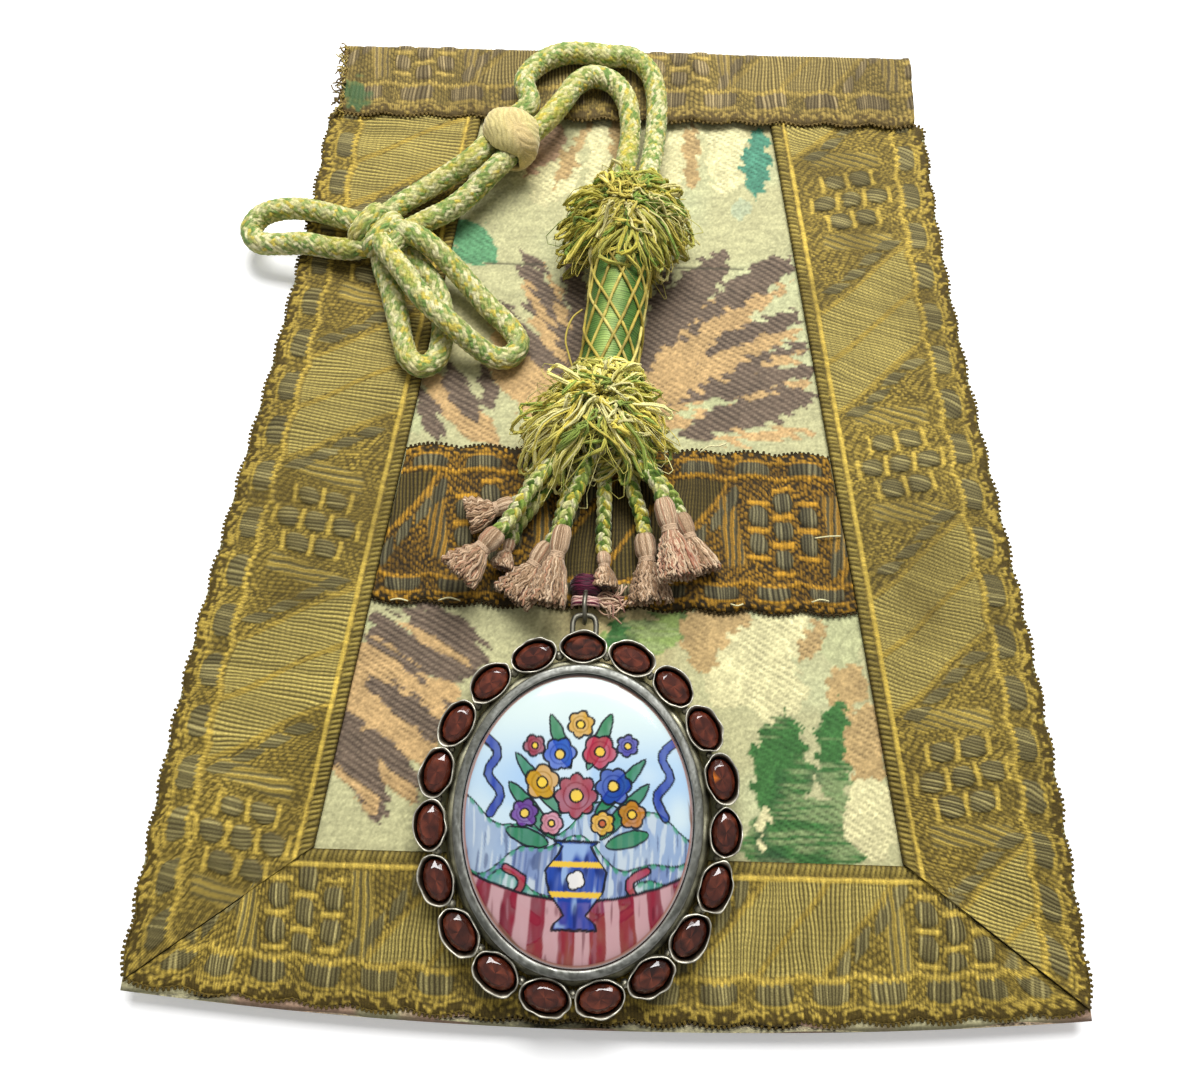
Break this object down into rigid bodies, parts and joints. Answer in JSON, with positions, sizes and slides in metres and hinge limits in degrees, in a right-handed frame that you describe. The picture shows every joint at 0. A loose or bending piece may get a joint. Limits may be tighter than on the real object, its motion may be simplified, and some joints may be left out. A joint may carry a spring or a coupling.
{
  "type": "scapular",
  "caption": "Brocade devotional scapular framed in woven galloon, with a cord bow, slide bead, silk tassel and a garnet-set oval enamel medallion on a jump ring.",
  "frame": {"origin": "middle of the panel's back face, on the surface that it lies on, without the free cord", "axes": "+X to the right of the face, +Y towards the narrow top edge, +Z out of the face"},
  "size_m": [0.1718, 0.209, 0.0266],
  "materials": {
    "lining_cloth": "plain woven linen, dull ochre",
    "core_board": "stiff pasteboard between the cloths",
    "silk_brocade": "brocaded silk, celadon ground with taupe, peach, cream and green floats",
    "metal_thread_galloon": "woven galloon of dulled gilt thread and yellow silk",
    "braided_silk_cord": "braid of green, cream and yellow silk",
    "dark_thread": "dark red sewing thread, wound",
    "straw_bead": "straw-coloured thread wound over a core",
    "green_silk": "green floss silk under yellow net threads",
    "looped_silk_thread": "looped olive, yellow and cream silk thread",
    "rose_silk": "dusty rose floss silk",
    "tarnished_silver": "worked silver, tarnished in the hollows",
    "painted_enamel": "painted enamel under a clear glaze",
    "garnet": "dark faceted garnet"
  },
  "bodies": {
    "panel": {"back_lining": "lining_cloth", "core_board": "core_board", "front_brocade": "silk_brocade", "galloon_left": "metal_thread_galloon", "galloon_right": "metal_thread_galloon", "galloon_bottom": "metal_thread_galloon", "galloon_middle": "metal_thread_galloon", "galloon_top": "metal_thread_galloon", "cord_strand_outer": "braided_silk_cord", "cord_strand_inner": "braided_silk_cord", "bow_loop_left": "braided_silk_cord", "bow_loop_lower_left": "braided_silk_cord", "bow_loop_lower_right": "braided_silk_cord", "bow_knot": "braided_silk_cord", "thread_tie": "dark_thread"},
    "bead": {"slide_bead": "straw_bead"},
    "tassel": {"tassel_shaft": "green_silk", "tassel_ruff_upper": "looped_silk_thread", "tassel_ruff_lower": "looped_silk_thread", "skirt_cord_1": "braided_silk_cord", "skirt_cord_2": "braided_silk_cord", "skirt_cord_3": "braided_silk_cord", "skirt_cord_4": "braided_silk_cord", "skirt_cord_5": "braided_silk_cord", "skirt_cord_6": "braided_silk_cord", "skirt_cord_7": "braided_silk_cord", "skirt_cord_8": "braided_silk_cord", "skirt_cord_9": "braided_silk_cord", "end_tassel_1": "rose_silk", "end_tassel_2": "rose_silk", "end_tassel_3": "rose_silk", "end_tassel_4": "rose_silk", "end_tassel_5": "rose_silk", "end_tassel_6": "rose_silk", "end_tassel_7": "rose_silk", "end_tassel_8": "rose_silk", "end_tassel_9": "rose_silk"},
    "ring": {"jump_ring": "tarnished_silver"},
    "medallion": {"medallion_mount": "tarnished_silver", "medallion_bezel": "tarnished_silver", "enamel_plaque": "painted_enamel", "garnet_01": "garnet", "garnet_02": "garnet", "garnet_03": "garnet", "garnet_04": "garnet", "garnet_05": "garnet", "garnet_06": "garnet", "garnet_07": "garnet", "garnet_08": "garnet", "garnet_09": "garnet", "garnet_10": "garnet", "garnet_11": "garnet", "garnet_12": "garnet", "garnet_13": "garnet", "garnet_14": "garnet", "garnet_15": "garnet", "garnet_16": "garnet", "garnet_17": "garnet", "garnet_18": "garnet", "garnet_19": "garnet"}
  },
  "joints": [
    {"name": "tassel_lift", "type": "hinge", "parent": "panel", "child": "tassel", "pos_m": [0.0018, 0.0595, 0.0129], "axis": [-0.9945, 0.1045, 0], "range_deg": [0, 60]},
    {"name": "bead_slide", "type": "slide", "parent": "panel", "child": "bead", "axis": [-0.6293, -0.7771, 0], "range_m": [-0.003, 0.003]},
    {"name": "ring_lift", "type": "hinge", "parent": "panel", "child": "ring", "pos_m": [-0.0056, -0.0285, 0.009], "axis": [-1, 0, 0], "range_deg": [0, 30]},
    {"name": "medallion_lift", "type": "hinge", "parent": "ring", "child": "medallion", "pos_m": [-0.0056, -0.03155, 0.009], "axis": [-1, 0, 0], "range_deg": [0, 65]}
  ]
}
